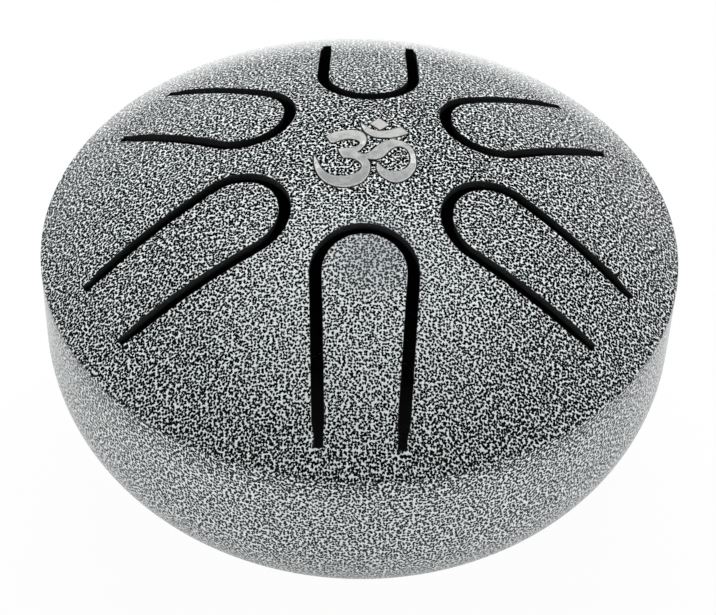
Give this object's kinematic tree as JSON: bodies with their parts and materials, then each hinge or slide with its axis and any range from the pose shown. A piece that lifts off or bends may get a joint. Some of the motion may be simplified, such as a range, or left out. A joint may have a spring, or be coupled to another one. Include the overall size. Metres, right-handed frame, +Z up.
{
  "type": "steel tongue drum",
  "caption": "Small hand-held steel tongue drum: a slotted domed top shell welded to a deep bowl, with tongues that flex at their roots.",
  "frame": {"origin": "on the drum's vertical axis, in the plane of the rubber feet's lower faces", "axes": "+Z up out of the dome's top, -Y towards the front, where the longest tongue is, +X to the player's right"},
  "size_m": [0.08, 0.08, 0.0463],
  "materials": {
    "coat": "semi-gloss powder coat with a fine vein pattern of black and light silver grey, on steel sheet",
    "rubber": "matt black",
    "emblem": "satin with bright edges"
  },
  "bodies": {
    "shell": {"top_shell": "coat", "bottom_shell": "coat", "rim_weld": "coat", "foot_1": "rubber", "foot_2": "rubber", "foot_3": "rubber", "om_emblem": "emblem"},
    "front_tongue": {"front_tongue": "coat"},
    "front_right_tongue": {"front_right_tongue": "coat"},
    "back_right_tongue": {"back_right_tongue": "coat"},
    "back_tongue": {"back_tongue": "coat"},
    "back_left_tongue": {"back_left_tongue": "coat"},
    "front_left_tongue": {"front_left_tongue": "coat"}
  },
  "joints": [
    {"name": "front_tongue_flex", "type": "hinge", "parent": "shell", "child": "front_tongue", "pos_m": [0.00079, -0.03677, 0.03375], "axis": [-1, -0.0079, 0], "range_deg": [-1, 1], "stiffness_Nm_per_rad": 19.1},
    {"name": "front_right_tongue_flex", "type": "hinge", "parent": "shell", "child": "front_right_tongue", "pos_m": [0.03049, -0.0167, 0.03516], "axis": [-0.4932, -0.8699, 0], "range_deg": [-1, 1], "stiffness_Nm_per_rad": 22},
    {"name": "back_right_tongue_flex", "type": "hinge", "parent": "shell", "child": "back_right_tongue", "pos_m": [0.02815, 0.01656, 0.03651], "axis": [0.5068, -0.8621, 0], "range_deg": [-1, 1], "stiffness_Nm_per_rad": 25.3},
    {"name": "back_tongue_flex", "type": "hinge", "parent": "shell", "child": "back_tongue", "pos_m": [0.00026, 0.03067, 0.03767], "axis": [1, 0.0079, 0], "range_deg": [-1, 1], "stiffness_Nm_per_rad": 28.4},
    {"name": "back_left_tongue_flex", "type": "hinge", "parent": "shell", "child": "back_left_tongue", "pos_m": [-0.02827, 0.01661, 0.03642], "axis": [0.4932, 0.8699, 0], "range_deg": [-1, 1], "stiffness_Nm_per_rad": 24.1},
    {"name": "front_left_tongue_flex", "type": "hinge", "parent": "shell", "child": "front_left_tongue", "pos_m": [-0.03051, -0.01793, 0.03473], "axis": [-0.5068, 0.8621, 0], "range_deg": [-1, 1], "stiffness_Nm_per_rad": 20.5}
  ]
}
